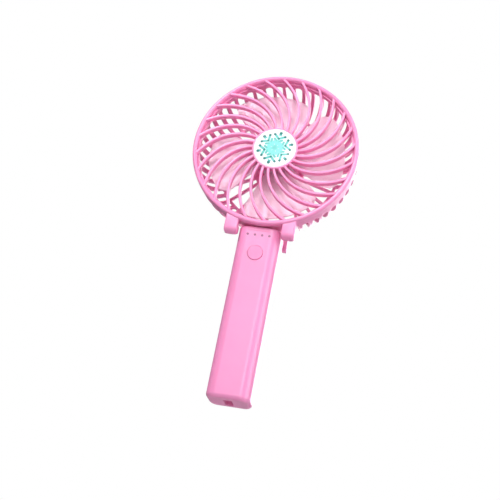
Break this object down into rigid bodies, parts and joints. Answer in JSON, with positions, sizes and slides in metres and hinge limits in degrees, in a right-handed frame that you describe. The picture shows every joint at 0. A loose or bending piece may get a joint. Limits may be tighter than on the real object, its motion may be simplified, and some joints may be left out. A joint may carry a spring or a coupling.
{
  "type": "handheld electric fan",
  "caption": "Battery hand fan: round guarded head with swept grille ribs and wide blades, hinged behind the top of a straight rounded handle with a button, indicator lights and a charging port.",
  "frame": {"origin": "middle of the flat end of the handle, on the face it can stand on", "axes": "+Z along the handle towards the head, +X to the right of someone facing the fan, +Y to the back"},
  "size_m": [0.107, 0.0345, 0.2185],
  "materials": {
    "pink_shell": "satin gloss moulded shell",
    "pink_button": "satin gloss button cap",
    "pink_inner": "plain moulded inner part",
    "blade_pink": "translucent pale pink",
    "badge_white": "glossy white disc with a printed snow crystal",
    "motor_steel": "plated steel can",
    "polished_steel": "ground steel",
    "screw_steel": "zinc plated",
    "bronze": "sintered bronze",
    "magnet": "ferrite",
    "armature_core": "laminated core with copper windings",
    "black_plastic": "moulded black",
    "nylon": "natural nylon",
    "light_lens": "smoked translucent rod",
    "led_white": "moulded lamp body",
    "board_green": "solder mask",
    "board_part": "moulded package",
    "cell_sleeve": "shrink sleeve over the can",
    "nickel": "nickel plated"
  },
  "bodies": {
    "handle": {"handle_front": "pink_shell", "handle_rear": "pink_shell", "end_cap": "pink_shell", "tact_switch": "black_plastic", "light_pipes": "light_lens", "indicator_leds": "led_white", "circuit_board": "board_green", "board_parts": "board_part", "charge_board": "board_green", "charge_socket": "nickel", "battery_cell": "cell_sleeve", "battery_contacts": "nickel", "battery_spring": "nickel", "handle_screws": "screw_steel"},
    "head": {"front_grille": "pink_shell", "hub_badge": "badge_white", "rear_shell": "pink_shell", "motor_can": "motor_steel", "motor_bush": "bronze", "motor_end_cap": "black_plastic", "motor_magnets": "magnet", "motor_retainer": "pink_inner", "retainer_screws": "screw_steel", "hinge_pin": "polished_steel", "hinge_washers": "nylon"},
    "rotor": {"impeller": "blade_pink", "motor_shaft": "polished_steel", "armature": "armature_core"},
    "button": {"power_button": "pink_button", "switch_plunger": "black_plastic"},
    "door": {"battery_door": "pink_shell"}
  },
  "joints": [
    {"name": "head_fold", "type": "hinge", "parent": "handle", "child": "head", "pos_m": [0, 0.0153, 0.11], "axis": [-1, 0, 0], "range_deg": [0, 180]},
    {"name": "fan_spin", "type": "hinge", "parent": "head", "child": "rotor", "pos_m": [0, 0, 0.165], "axis": [0, 1, 0], "continuous": true},
    {"name": "button_press", "type": "slide", "parent": "handle", "child": "button", "axis": [0, 1, 0], "range_m": [0, 0.0004], "stiffness_N_per_m": 400, "springref_m": -0.0003},
    {"name": "door_slide", "type": "slide", "parent": "handle", "child": "door", "axis": [0, 0, -1], "range_m": [0, 0.08]}
  ]
}
